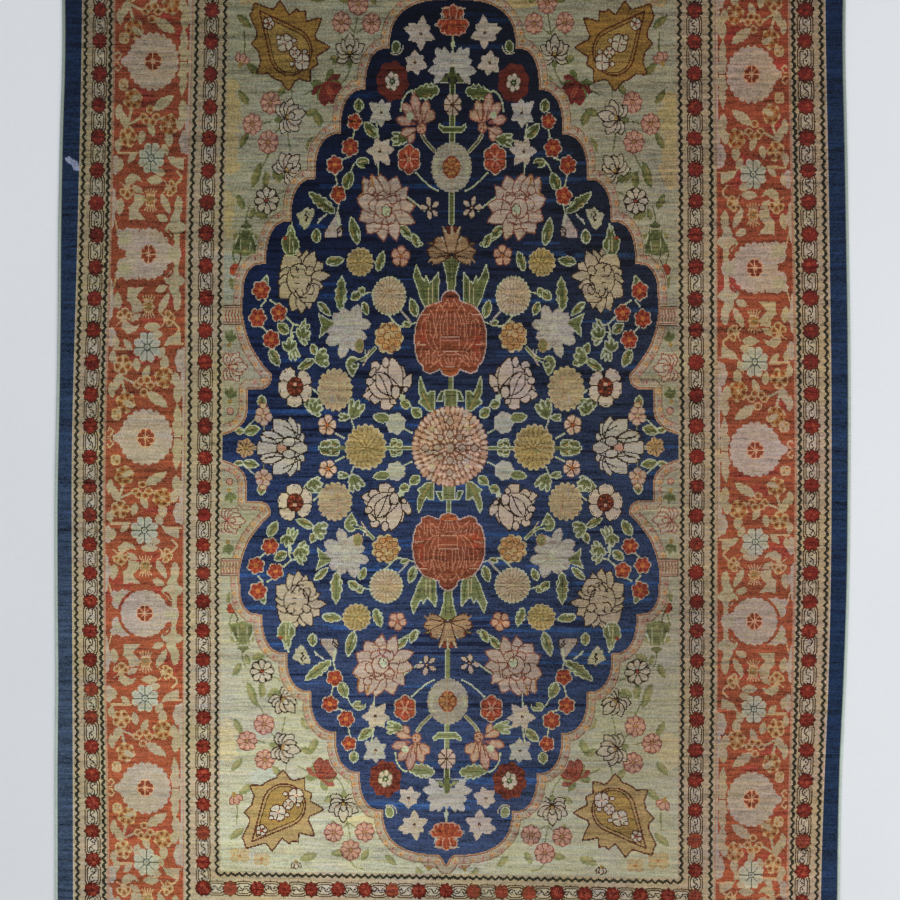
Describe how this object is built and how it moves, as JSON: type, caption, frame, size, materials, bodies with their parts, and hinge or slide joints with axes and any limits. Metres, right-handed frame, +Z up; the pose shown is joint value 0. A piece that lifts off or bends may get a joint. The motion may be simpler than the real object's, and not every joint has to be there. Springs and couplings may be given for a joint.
{
  "type": "silk rug",
  "caption": "Flat hand-knotted silk rug with a pointed floral medallion, framed borders, corded sides and short fringed ends.",
  "frame": {"origin": "middle of the rug's underside, on the surface it lies on", "axes": "+X across the rug, +Y along its warps towards the looser-packed end, +Z up out of the pile"},
  "size_m": [0.9224, 1.5346, 0.003],
  "materials": {
    "silk_pile": "cut silk pile with a soft sheen",
    "silk_cord": "overcast silk cord, pale celadon",
    "silk_warp": "loose silk warp ends, ivory"
  },
  "bodies": {
    "root": {"carpet": "silk_pile", "selvedge_left": "silk_cord", "selvedge_right": "silk_cord", "fringe_top": "silk_warp", "fringe_bottom": "silk_warp"}
  },
  "joints": []
}
